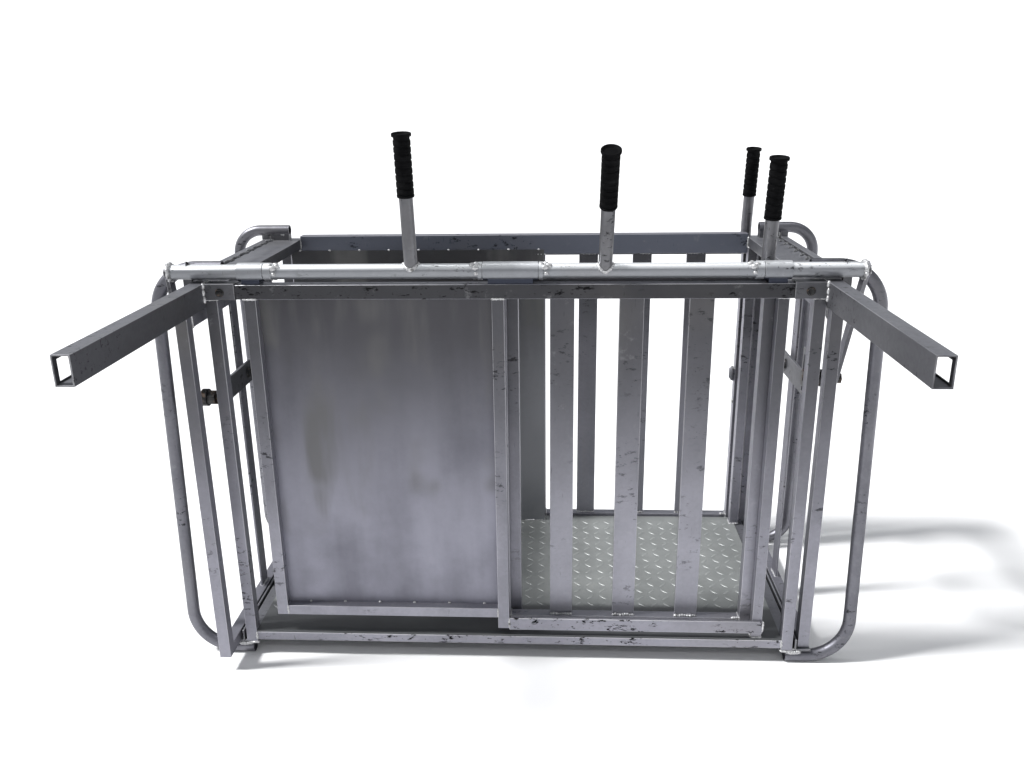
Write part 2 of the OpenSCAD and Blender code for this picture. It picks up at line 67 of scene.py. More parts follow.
CORNERS = tuple(f"{end}_{side}" for end in ("front", "back") for side in SIDES)
ACROSS = Vector((0.0, 1.0, 0.0))
UP = Vector((0.0, 0.0, 1.0))
PIPE = 0.0135
GRIP_EDGE = 0.0011
MERGE = 0.00001
FLAT_ANGLE = math.radians(0.5)
EDGE_ANGLE = math.radians(40.0)


def sign(side: str) -> float:
    """-1 for the left end of the crate, 1 for the right."""
    return -1.0 if side == "left" else 1.0


class Sock:
    """A shader socket that adds Math nodes when it is used in an expression."""

    def __init__(self, graph: "Graph", out: bpy.types.NodeSocket) -> None:
        """Keeps the material graph and the output socket."""
        self.graph = graph
        self.out = out

    def _math(self, op: str, a: Value, b: Value) -> "Sock":
        """Adds one Math node with the operation op on a and b."""
        return self.graph.node("ShaderNodeMath", {"operation": op}, {0: a, 1: b})

    def __add__(self, other: Value) -> "Sock":
        """Sum."""
        return self._math("ADD", self, other)

    def __radd__(self, other: Value) -> "Sock":
        """Sum with a number on the left."""
        return self._math("ADD", other, self)

    def __sub__(self, other: Value) -> "Sock":
        """Difference."""
        return self._math("SUBTRACT", self, other)

    def __rsub__(self, other: Value) -> "Sock":
        """Difference from a number on the left."""
        return self._math("SUBTRACT", other, self)

    def __mul__(self, other: Value) -> "Sock":
        """Product."""
        return self._math("MULTIPLY", self, other)

    def __rmul__(self, other: Value) -> "Sock":
        """Product with a number on the left."""
        return self._math("MULTIPLY", other, self)

    def __abs__(self) -> "Sock":
        """Size without sign."""
        return self._math("ABSOLUTE", self, 0.0)

    def high(self, other: Value) -> "Sock":
        """Larger of two values."""
        return self._math("MAXIMUM", self, other)

    def low(self, other: Value) -> "Sock":
        """Smaller of two values."""
        return self._math("MINIMUM", self, other)

    def ramp(self, lo: float, hi: float) -> "Sock":
        """Smooth step from 0 at lo to 1 at hi."""
        return self.graph.node("ShaderNodeMapRange", {"interpolation_type": "SMOOTHSTEP"},
                               {"Value": self, "From Min": lo, "From Max": hi, "To Min": 0.0, "To Max": 1.0})


class Graph:
    """One material's node tree, built node by node."""

    def __init__(self, name: str) -> None:
        """Starts an empty material.

        Args:
            name: the material's name.
        """
        self.material = bpy.data.materials.new(name)
        self.material.use_nodes = True
        self.tree = self.material.node_tree
        self.tree.nodes.clear()
        self.place = self.node("ShaderNodeTexCoord", output="Object")

    def node(self, kind: str, settings: dict | None = None, inputs: dict | None = None,
             output: int | str = 0) -> Sock:
        """Adds any node.

        Args:
            kind: the node's type name.
            settings: attributes that are set first.
            inputs: socket name or index to a value or a Sock.
            output: which output is wrapped.

        Returns:
            The chosen output.
        """
        made = self.tree.nodes.new(kind)
        for key, value in (settings or {}).items():
            setattr(made, key, value)
        for key, value in (inputs or {}).items():
            if isinstance(value, Sock):
                self.tree.links.new(value.out, made.inputs[key])
            else:
                made.inputs[key].default_value = value
        return Sock(self, made.outputs[output])

    def stretched(self, scale: Triple, shift: Triple = (0.0, 0.0, 0.0)) -> Sock:
        """Object coordinates scaled by axis and then shifted."""
        return self.node("ShaderNodeVectorMath", {"operation": "MULTIPLY_ADD"},
                         {0: self.place, 1: scale, 2: shift})

    def noise(self, scale: float, detail: float = 3.0, rough: float = 0.55, at: Sock | None = None) -> Sock:
        """Noise in 0..1 of scale cells per metre, at given coordinates or the object's own."""
        return self.node("ShaderNodeTexNoise", {"noise_dimensions": "3D"},
                         {"Vector": at or self.place, "Scale": scale, "Detail": detail, "Roughness": rough})

    def cells(self, scale: float) -> Sock:
        """Voronoi cell colours, scale cells per metre."""
        return self.node("ShaderNodeTexVoronoi", {"feature": "F1"},
                         {"Vector": self.place, "Scale": scale, "Randomness": 1.0}, "Color")

    def blend(self, factor: Value, a: Union[Sock, Triple], b: Union[Sock, Triple], mode: str = "MIX") -> Sock:
        """Mixes two colours.

        Args:
            factor: share of b.
            a: first colour.
            b: second colour.
            mode: the Mix node's blend type.

        Returns:
            The mixed colour.
        """
        def full(c: Union[Sock, Triple]) -> Union[Sock, tuple]:
            """Adds alpha to a plain colour."""
            return c if isinstance(c, Sock) else (*c, 1.0)
        return self.node("ShaderNodeMix", {"data_type": "RGBA", "blend_type": mode, "clamp_result": True},
                         {0: factor, 6: full(a), 7: full(b)}, 2)

    def facing(self, axis: int) -> Sock:
        """Part of the surface normal on one of the object's own axes, -1 to 1."""
        normal = self.node("ShaderNodeTexCoord", output="Normal")
        return self.node("ShaderNodeSeparateXYZ", inputs={0: normal}, output=axis)

    def edges(self) -> Sock:
        """Cover of the eased edges between square faces, 0 on the faces and 0.5 at an edge's middle."""
        x, y, z = (abs(self.facing(k)) for k in range(3))
        return x * y + y * z + z * x

    def along(self, axis: int) -> Sock:
        """Place on one of the object's own axes, in metres."""
        return self.node("ShaderNodeSeparateXYZ", inputs={0: self.place}, output=axis)

    def height(self) -> Sock:
        """Height above the ground in metres."""
        return self.along(2)

    def close(self, colour: Union[Sock, Triple], rough: Value, metal: Value, bump: Sock | None = None,
              strength: float = 0.2, depth: float = 0.001, specular: float = 0.5) -> bpy.types.Material:
        """Feeds the shader and returns the material.

        Args:
            colour: base colour.
            rough: roughness.
            metal: metallic share.
            bump: height field, if there is one.
            strength: bump strength.
            depth: bump distance in metres.
            specular: specular level.

        Returns:
            The finished material.
        """
        inputs: dict = {"Base Color": colour if isinstance(colour, Sock) else (*colour, 1.0),
                        "Roughness": rough, "Metallic": metal, "Specular IOR Level": specular}
        if bump is not None:
            inputs["Normal"] = self.node("ShaderNodeBump", None,
                                         {"Strength": strength, "Distance": depth, "Height": bump})
        shader = self.node("ShaderNodeBsdfPrincipled", None, inputs)
        out = self.tree.nodes.new("ShaderNodeOutputMaterial")
        self.tree.links.new(shader.out, out.inputs["Surface"])
        return self.material


@dataclass(frozen=True)
class Galvanised:
    """Hot-dip zinc on tube or flat: smooth lavender grey with runs and black scuffs, and painted shade on front faces
    that deepens towards the top. Optional painted shade on side faces, painted highlights on upper edges and blue-black
    painted shade low down.
    """

    name: str
    light: Triple = (0.295, 0.292, 0.335)
    dark: Triple = (0.212, 0.212, 0.24)
    # painted_shade: colour painted as shade on front faces towards the top and on side faces; fade: its strength on the
    # front faces.
    painted_shade: Triple = (0.05, 0.05, 0.054)
    fade: float = 0.9
    scuff: float = 1.0
    metal: float = 0.85
    rough: float = 0.42
    run: Triple = (14.0, 14.0, 2.2)
    # soot: height below which the part is painted blue-black as shade under the shaft, 0 for none.
    soot: float = 0.0
    # rub_and_highlight: strength of the light colour on upper eased edges, a painted highlight patched like worn zinc.
    rub_and_highlight: float = 0.0
    # side_shade: strength of the painted shade on faces that do not face up.
    side_shade: float = 0.0
    # rounded: the painted shade on the front also covers the lower half of a round part.
    rounded: bool = False
    wear: float = 0.0

    def make(self) -> bpy.types.Material:
        """Builds the material.

        Returns:
            The material.
        """
        g = Graph(self.name)
        cloud = g.noise(7.0, 5.0, 0.6)
        runs = g.noise(1.0, 4.0, 0.55, g.stretched(self.run, (3.1, 1.7, 5.3)))
        spangle = g.node("ShaderNodeRGBToBW", None, {0: g.cells(150.0)})
        tone = (cloud * 0.55 + runs * 0.4 + spangle * 0.1 - 0.08).ramp(0.18, 0.72)
        colour = g.blend(tone, self.dark, self.light)
        # Painted shade: front-facing surfaces darkened towards the top, and on round parts over the front and lower
        # half, standing in for shade.
        front = (0.0 - g.facing(1)).ramp(0.72, 0.97)
        if self.rounded:
            front = (0.0 - g.facing(1) - g.facing(2) * 0.75).ramp(0.2, 0.75)
        front_shade = front * g.height().ramp(0.12, 0.8) * self.fade
        colour = g.blend(front_shade, colour, self.painted_shade)
        oxide = g.noise(26.0, 6.0, 0.7).ramp(0.6, 0.74) * 0.16
        colour = g.blend(oxide, colour, (0.45, 0.45, 0.46))
        warm = g.noise(3.2, 3.0, 0.5).ramp(0.55, 0.75) * 0.22
        colour = g.blend(warm, colour, (0.16, 0.15, 0.135))
        # Painted shade: blue-black below the soot height, standing in for the shade under the shaft.
        if self.soot:
            shade_below = 1.0 - g.height().ramp(self.soot - 0.005, self.soot + 0.003)
            colour = g.blend(shade_below, colour, (0.022, 0.026, 0.042))
        # Painted shade: faces that do not face up are darkened, so top faces read lighter.
        if self.side_shade:
            colour = g.blend((1.0 - g.facing(2).ramp(0.5, 0.9)) * self.side_shade, colour, self.painted_shade)
        # Painted highlight along upper eased edges, in patches like worn zinc; edges facing down are left out.
        if self.rub_and_highlight:
            under = (0.0 - g.facing(2)).ramp(0.2, 0.5)
            bare_and_highlight = g.edges().ramp(0.2, 0.42) * (1.0 - under) * runs.ramp(0.3, 0.55) * self.rub_and_highlight
            colour = g.blend(bare_and_highlight, colour, (0.74, 0.74, 0.76))
        marks = self._marks(g)
        colour = g.blend(marks, colour, (0.006, 0.006, 0.007))
        rough = self.rough + (1.0 - tone) * 0.14 + oxide * 0.4 + marks * 0.2
        metal = self.metal - oxide * 0.5
        bump = g.noise(420.0, 3.0, 0.6) * 0.35 + cloud * 0.5 + spangle * 0.04
        return g.close(colour, rough, metal, bump, 0.18, 0.0006)

    def _marks(self, g: Graph) -> Sock:
        """Black scratches and specks from handling, in scattered patches.

        Args:
            g: the material's graph.

        Returns:
            The marks' cover, 0 to 1.
        """
        patch = g.noise(6.0, 2.0, 0.5, g.stretched((1.0, 1.0, 1.0), (7.7, 2.2, 4.4)))
        patch = patch.ramp(0.5 - self.wear, 0.6 - self.wear)
        streak = g.noise(1.0, 6.0, 0.72, g.stretched((40.0, 90.0, 90.0), (1.3, 9.1, 2.7))).ramp(0.57, 0.63)
        scratch = g.noise(1.0, 4.0, 0.6, g.stretched((260.0, 260.0, 22.0), (4.4, 0.3, 8.8))).ramp(0.68, 0.72)
        speck = g.noise(210.0, 2.0, 0.5).ramp(0.70, 0.75)
        found = (streak * patch).high(speck * patch * 0.8).high(scratch * (1.0 - patch) * 0.7)
        return (found * (0.85 * self.scuff)).low(1.0)


@dataclass(frozen=True)
class PanelSheet:
    """Thin zinc sheet, clouded and streaked by water run-off, with painted shade that darkens it towards the top."""

    name: str
    light: Triple = (0.262, 0.262, 0.31)
    dark: Triple = (0.14, 0.14, 0.167)
    painted_shade: Triple = (0.037, 0.036, 0.038)
    stain: Triple = (0.098, 0.097, 0.096)

    def make(self) -> bpy.types.Material:
        """Builds the material.

        Returns:
            The material.
        """
        g = Graph(self.name)
        broad = g.noise(2.6, 4.0, 0.55)
        drip = g.noise(1.0, 4.0, 0.5, g.stretched((11.0, 11.0, 1.8), (4.0, 0.0, 1.0)))
        fine = g.noise(60.0, 4.0, 0.65)
        tone = (broad * 0.95 + drip * 0.45 + fine * 0.1 - 0.22).ramp(0.22, 0.7)
        colour = g.blend(tone, self.dark, self.light)
        # Painted shade: the sheet is darkened towards the top.
        high = (g.height() + (broad - 0.5) * 0.4).ramp(0.24, 0.84)
        colour = g.blend(high * 0.9, colour, self.painted_shade)
        where = g.noise(3.4, 3.0, 0.5, g.stretched((1.0, 1.0, 1.0), (2.0, 0.0, 6.0)))
        stain = drip.ramp(0.46, 0.64) * where.ramp(0.48, 0.6)
        colour = g.blend(stain * 0.75, colour, self.stain)
        speck = g.noise(240.0, 2.0, 0.5).ramp(0.72, 0.77)
        colour = g.blend(speck * 0.35, colour, (0.04, 0.04, 0.04))
        rough = 0.44 + (1.0 - tone) * 0.18 + stain * 0.1
        bump = broad * 0.7 + fine * 0.2
        return g.close(colour, rough, 0.75 - stain * 0.3, bump, 0.2, 0.002)


@dataclass(frozen=True)
class TreadMetal:
    """Worn floor plate and lugs: grey-green with hoof dirt between the lugs, and a painted shadow band along the front
    edge.
    """

    name: str
    lift: float = 1.0
    low: Triple = (0.212, 0.222, 0.218)
    high: Triple = (0.335, 0.347, 0.342)
    # front_shadow_to: depth in metres from the front where the painted shadow band ends.
    front_shadow_to: float = 0.137

    def make(self) -> bpy.types.Material:
        """Builds the material.

        Returns:
            The material.
        """
        g = Graph(self.name)
        broad = g.noise(5.0, 4.0, 0.6)
        grime = g.noise(24.0, 5.0, 0.65)
        low, high = (tuple(c * self.lift for c in tone) for tone in (self.low, self.high))
        colour = g.blend((broad * 0.7 + grime * 0.45 - 0.2).ramp(0.1, 0.75), low, high)
        dirt = grime.ramp(0.58, 0.74) * broad.ramp(0.45, 0.65)
        colour = g.blend(dirt * 0.5, colour, (0.10, 0.095, 0.08))
        # Painted shadow: a dark band along the front of the floor, standing in for the shadow cast by the front side.
        depth = g.along(1) - YF + (grime - 0.5) * 0.02
        edge = 1.0 - depth.ramp(self.front_shadow_to - 0.022, self.front_shadow_to)
        colour = g.blend(edge * 0.85, colour, (0.055, 0.057, 0.062))
        rough = 0.4 + dirt * 0.3 + broad * 0.12
        return g.close(colour, rough, 0.45 - dirt * 0.35, grime + broad * 0.4, 0.2, 0.0008)


@dataclass(frozen=True)
class WeldMetal:
    """Zinc-sprayed weld bead, grainy grey with scattered soot patches."""

    name: str
    low: Triple = (0.26, 0.262, 0.268)
    high: Triple = (0.60, 0.60, 0.605)

    def make(self) -> bpy.types.Material:
        """Builds the material.

        Returns:
            The material.
        """
        g = Graph(self.name)
        grain = g.noise(330.0, 4.0, 0.65)
        patch = g.noise(45.0, 3.0, 0.6)
        colour = g.blend(grain.ramp(0.3, 0.7), self.low, self.high)
        soot = patch.ramp(0.55, 0.68)
        colour = g.blend(soot * 0.75, colour, (0.05, 0.048, 0.046))
        return g.close(colour, 0.36 + soot * 0.35, 0.45 - soot * 0.3, grain, 0.4, 0.0006)


@dataclass(frozen=True)
class BoltSteel:
    """Plated fastener with a brown tinge where it has been turned."""

    name: str

    def make(self) -> bpy.types.Material:
        """Builds the material.

        Returns:
            The material.
        """
        g = Graph(self.name)
        grime = g.noise(120.0, 4.0, 0.65)
        rust = g.noise(60.0, 5.0, 0.7).ramp(0.5, 0.66)
        colour = g.blend(grime.ramp(0.3, 0.7), (0.009, 0.009, 0.01), (0.05, 0.05, 0.05))
        colour = g.blend(rust * 0.55, colour, (0.16, 0.085, 0.04))
        return g.close(colour, 0.38 + rust * 0.35, 0.8 - rust * 0.5, grime, 0.25, 0.0004)


@dataclass(frozen=True)
class GripRubber:
    """Black moulded hand grip, greyed on the crests and dusty in the grooves."""

    name: str

    def make(self) -> bpy.types.Material:
        """Builds the material.

        Returns:
            The material.
        """
        g = Graph(self.name)
        grain = g.noise(700.0, 3.0, 0.6)
        wear = g.noise(38.0, 4.0, 0.6)
        colour = g.blend(wear.ramp(0.4, 0.75), (0.0018, 0.0018, 0.0022), (0.006, 0.006, 0.0065))
        dust = g.noise(140.0, 3.0, 0.6).ramp(0.62, 0.74)
        colour = g.blend(dust * 0.1, colour, (0.05, 0.049, 0.048))
        return g.close(colour, 0.6 + wear * 0.2, 0.0, grain, 0.3, 0.0004, 0.05)


@dataclass(frozen=True)
class StudioFloor:
    """Plain pale floor."""

    name: str

    def make(self) -> bpy.types.Material:
        """Builds the material.

        Returns:
            The material.
        """
        g = Graph(self.name)
        tone = g.noise(0.8, 3.0, 0.5)
        return g.close(g.blend(tone, (0.84, 0.84, 0.845), (0.87, 0.87, 0.87)), 0.9, 0.0, specular=0.2)


class Finish(Enum):
    """The finishes on the crate, each made once."""

    TUBE = Galvanised("zinc_tube", scuff=0.85, rub_and_highlight=0.3)
    RAIL = Galvanised("zinc_rail", painted_shade=(0.037, 0.037, 0.04), fade=0.97, scuff=1.3, run=(2.2, 14.0, 14.0), rub_and_highlight=0.85,
                      wear=0.1)
    BACK_RAIL = Galvanised("zinc_back_rail", painted_shade=(0.105, 0.114, 0.142), fade=0.95, run=(2.2, 14.0, 14.0), rub_and_highlight=0.3)
    SLAT = Galvanised("zinc_slat", light=(0.33, 0.328, 0.372), dark=(0.265, 0.265, 0.297), scuff=0.55, rub_and_highlight=0.25)
    SHAFT = Galvanised("zinc_shaft", light=(0.86, 0.875, 0.89), dark=(0.68, 0.695, 0.71), painted_shade=(0.095, 0.1, 0.115),
                       metal=0.6, rough=0.3, scuff=0.8, run=(2.2, 20.0, 20.0), fade=0.82, rounded=True)
    # Darker copy of the shaft's zinc for lever stems and door handles: painted shade.
    STEM = Galvanised("zinc_stem_painted_shade", light=(0.18, 0.18, 0.19), dark=(0.11, 0.11, 0.118), rough=0.34, fade=0.35)
    # The bearings carry blue-black painted shade below the soot height.
    BEARING = Galvanised("zinc_bearing", light=(0.66, 0.675, 0.69), dark=(0.46, 0.47, 0.49), painted_shade=(0.085, 0.09, 0.105),
                         metal=0.6, rough=0.32, fade=0.75, soot=0.878, rounded=True)
    HOOP = Galvanised("zinc_hoop", light=(0.205, 0.205, 0.228), dark=(0.125, 0.125, 0.143), metal=0.92, rough=0.4,
                      fade=0.4)
    ARM = Galvanised("zinc_arm", light=(0.24, 0.242, 0.262), dark=(0.15, 0.152, 0.17), run=(14.0, 2.2, 14.0),
                     scuff=0.7, metal=0.78, fade=0.4, rub_and_highlight=0.3, side_shade=0.5)
    SHEET = PanelSheet("zinc_sheet")
    BACK = PanelSheet("zinc_back_sheet", light=(0.285, 0.29, 0.31), dark=(0.168, 0.174, 0.188),
                      stain=(0.10, 0.10, 0.098))
    TREAD = TreadMetal("tread_plate")
    LUG = TreadMetal("tread_lug", 1.2)
    WELD = WeldMetal("weld_bead")
    # Dark weld for the end rails' stitches: painted shadow of the stitches.
    SEAM = WeldMetal("weld_seam_painted_shadow", (0.045, 0.046, 0.05), (0.22, 0.222, 0.23))
    BOLT = BoltSteel("plated_bolt")
    GRIP = GripRubber("grip_rubber")
    FLOOR = StudioFloor("studio_floor")

    def material(self) -> bpy.types.Material:
        """The finish's material, made on first use."""
        spec = self.value
        found = bpy.data.materials.get(spec.name)
        return found or spec.make()


def dress(node: str, finish: Finish, edge: float = 0.0) -> None:
    """Gives a CAD node its finish and eased edges.

    Args:
        node: the node's name.
        finish: the finish to put on it.
        edge: width of the eased edge in metres, or 0 for none.
    """
    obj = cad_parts[node]
    obj.data.materials.clear()
    obj.data.materials.append(finish.material())
    if edge > 0.0:
        join = obj.modifiers.new("joined_corners", "WELD")
        join.merge_threshold = MERGE
        flat = obj.modifiers.new("whole_flats", "DECIMATE")
        flat.decimate_type = "DISSOLVE"
        flat.angle_limit = FLAT_ANGLE
        ease = obj.modifiers.new("eased_edge", "BEVEL")
        ease.width = edge
        ease.segments = 2
        ease.limit_method = "ANGLE"
        ease.angle_limit = EDGE_ANGLE
        ease.use_clamp_overlap = False
        even = obj.modifiers.new("even_shade", "WEIGHTED_NORMAL")
        even.keep_sharp = True


def show(name: str, data: bpy.types.ID) -> bpy.types.Object:
    """Puts a new object in the scene.

    Args:
        name: the object's name.
        data: its mesh, light or camera.

    Returns:
        The new object.
    """
    obj = bpy.data.objects.new(name, data)
    bpy.context.scene.collection.objects.link(obj)
    return obj


def add_piece(name: str, mesh: bmesh.types.BMesh, finish: Finish, body: str) -> bpy.types.Object:
    """Turns a bmesh into a piece that rides on a body.

    Args:
        name: the piece's name.
        mesh: the built mesh, freed here.
        finish: its finish.
        body: the CAD body it moves with.

    Returns:
        The new object.
    """
    bmesh.ops.recalc_face_normals(mesh, faces=mesh.faces)
    data = bpy.data.meshes.new(name)
    mesh.to_mesh(data)
    mesh.free()
    data.polygons.foreach_set("use_smooth", [True] * len(data.polygons))
    data.materials.append(finish.material())
    obj = show(name, data)
    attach(obj, body)
    LOG.info("%s: %d faces on %s", name, len(data.polygons), body)
    return obj


def resample(path: Sequence[Vector], step: float, closed: bool) -> list[Vector]:
    """Points at even steps along a polyline.

    Args:
        path: corner points.
        step: wanted spacing in metres.
        closed: whether the last point joins the first.

    Returns:
        The new points.
    """
    corners = list(path) + ([path[0]] if closed else [])
    spans = [(b - a).length for a, b in zip(corners, corners[1:])]
    total = sum(spans)
    count = max(3, round(total / step))
    result: list[Vector] = []
    for i in range(count if closed else count + 1):
        left = total * i / count
        for a, b, length in zip(corners, corners[1:], spans):
            if left <= length + 1e-9:
                result.append(a.lerp(b, left / length if length else 0.0))
                break
            left -= length
    return result


def wall(mesh: bmesh.types.BMesh, a: Ring, b: Ring) -> None:
    """Joins two rings of the same count with a band of faces.

    Args:
        mesh: the mesh to add to.
        a: first ring.
        b: second ring.
    """
    for k in range(len(a)):
        n = (k + 1) % len(a)
        mesh.faces.new((a[k], a[n], b[n], b[k]))


@dataclass
class WeldRun:
    """All the weld beads that move with one body, gathered in one mesh."""

    body: str
    step: float = 0.0026
    sides: int = 7
    mesh: bmesh.types.BMesh = field(default_factory=bmesh.new)

    def bead(self, path: Sequence[Point], radius: float, closed: bool = False) -> None:
        """Lays a rippled bead along a path.

        Args:
            path: corner points of the run.
            radius: mean bead radius in metres.
            closed: whether the run closes on itself.
        """
        points = resample([Vector(p) for p in path], self.step, closed)
        count = len(points)
        rings: list[Ring] = []
        for i, p in enumerate(points):
            before = points[i - 1] if closed or i else p
            after = points[(i + 1) % count] if closed or i < count - 1 else p
            along = (after - before).normalized()
            side = along.orthogonal().normalized()
            up = along.cross(side)
            wander = noise.noise(p * 150.0)
            fade = 1.0 if closed else min(1.0, 0.45 + 0.55 * min(i, count - 1 - i) / 2.0)
            size = radius * fade * (1.0 + 0.2 * math.sin(i * 2.1) + 0.35 * wander)
            centre = p + (side * noise.noise(p * 90.0) + up * noise.noise(p * 90.0 + Vector((5, 5, 5)))) * radius * 0.3
            rings.append([self.mesh.verts.new(centre + (side * math.cos(a) + up * math.sin(a)) * size)
                          for a in (2.0 * math.pi * k / self.sides for k in range(self.sides))])
        self._skin(rings, closed)

    def _skin(self, rings: list[Ring], closed: bool) -> None:
        """Joins rings of points into a closed tube.

        Args:
            rings: the rings in order.
            closed: whether the last ring joins the first.
        """
        pairs = list(zip(rings, rings[1:])) + ([(rings[-1], rings[0])] if closed else [])
        for a, b in pairs:
            shift = min(range(self.sides), key=lambda s: (a[0].co - b[s].co).length)
            wall(self.mesh, a, b[shift:] + b[:shift])
        if not closed:
            self.mesh.faces.new(rings[0])
            self.mesh.faces.new(rings[-1])

    def tack(self, at: Vector, radius: float, flat: Triple = (1.0, 0.8, 0.7)) -> None:
        """Drops one rough blob of weld.

        Args:
            at: its centre.
            radius: its radius in metres.
            flat: its size on each axis as a share of the radius.
        """
        place = Matrix.Translation(at) @ Matrix.Diagonal((*flat, 1.0))
        made = bmesh.ops.create_icosphere(self.mesh, subdivisions=2, radius=radius, matrix=place)
        for v in made["verts"]:
            push = 0.3 * noise.noise(v.co * 260.0) + 0.22 * noise.noise(v.co * 640.0)
            v.co = at + (v.co - at) * (1.0 + push)

    def row(self, a: Vector, b: Vector, count: int, radius: float, flat: Triple = (1.0, 0.9, 0.9)) -> None:
        """Lays a row of uneven lumps.

        Args:
            a: first lump's place.
            b: last lump's place.
            count: how many lumps.
            radius: their mean radius in metres.
            flat: their size on each axis as a share of the radius.
        """
        for i in range(count):
            p = a.lerp(b, i / max(1, count - 1))
            jolt = Vector([noise.noise(p * 77.0 + Vector((k, 2 * k, k))) for k in range(3)])
            self.tack(p + jolt * radius * 0.5, radius * (1.0 + 0.5 * noise.noise(p * 131.0)), flat)

    def box_seam(self, low: Vector, high: Vector, axis: int, at: float, radius: float) -> None:
        """Runs a bead round a box tube where it butts on a face.

        Args:
            low: lowest corner of the tube.
            high: highest corner of the tube.
            axis: the tube's long axis.
            at: place of the joint on that axis.
            radius: bead radius in metres.
        """
        u, v = [k for k in range(3) if k != axis]
        loop: list[Vector] = []
        for su, sv in ((0, 0), (1, 0), (1, 1), (0, 1)):
            p = Vector((0.0, 0.0, 0.0))
            p[axis] = at
            p[u] = (low, high)[su][u]
            p[v] = (low, high)[sv][v]
            loop.append(p)
        self.bead(loop, radius, True)

    def finish(self, name: str, finish: Finish = Finish.WELD) -> bpy.types.Object:
        """Makes the piece.

        Args:
            name: the piece's name.
            finish: the weld's finish.

        Returns:
            The new object.
        """
        low, high = CAD_BOX
        for v in self.mesh.verts:
            v.co = Vector([min(max(c, a), b) for c, a, b in zip(v.co, low, high)])
        return add_piece(name, self.mesh, finish, self.body)


def circle(centre: Vector, u: Vector, v: Vector, radius: float, count: int = 40) -> list[Vector]:
    """Points round a circle in the plane of the unit directions u and v."""
    return [centre + (u * math.cos(a) + v * math.sin(a)) * radius
            for a in (2.0 * math.pi * k / count for k in range(count))]


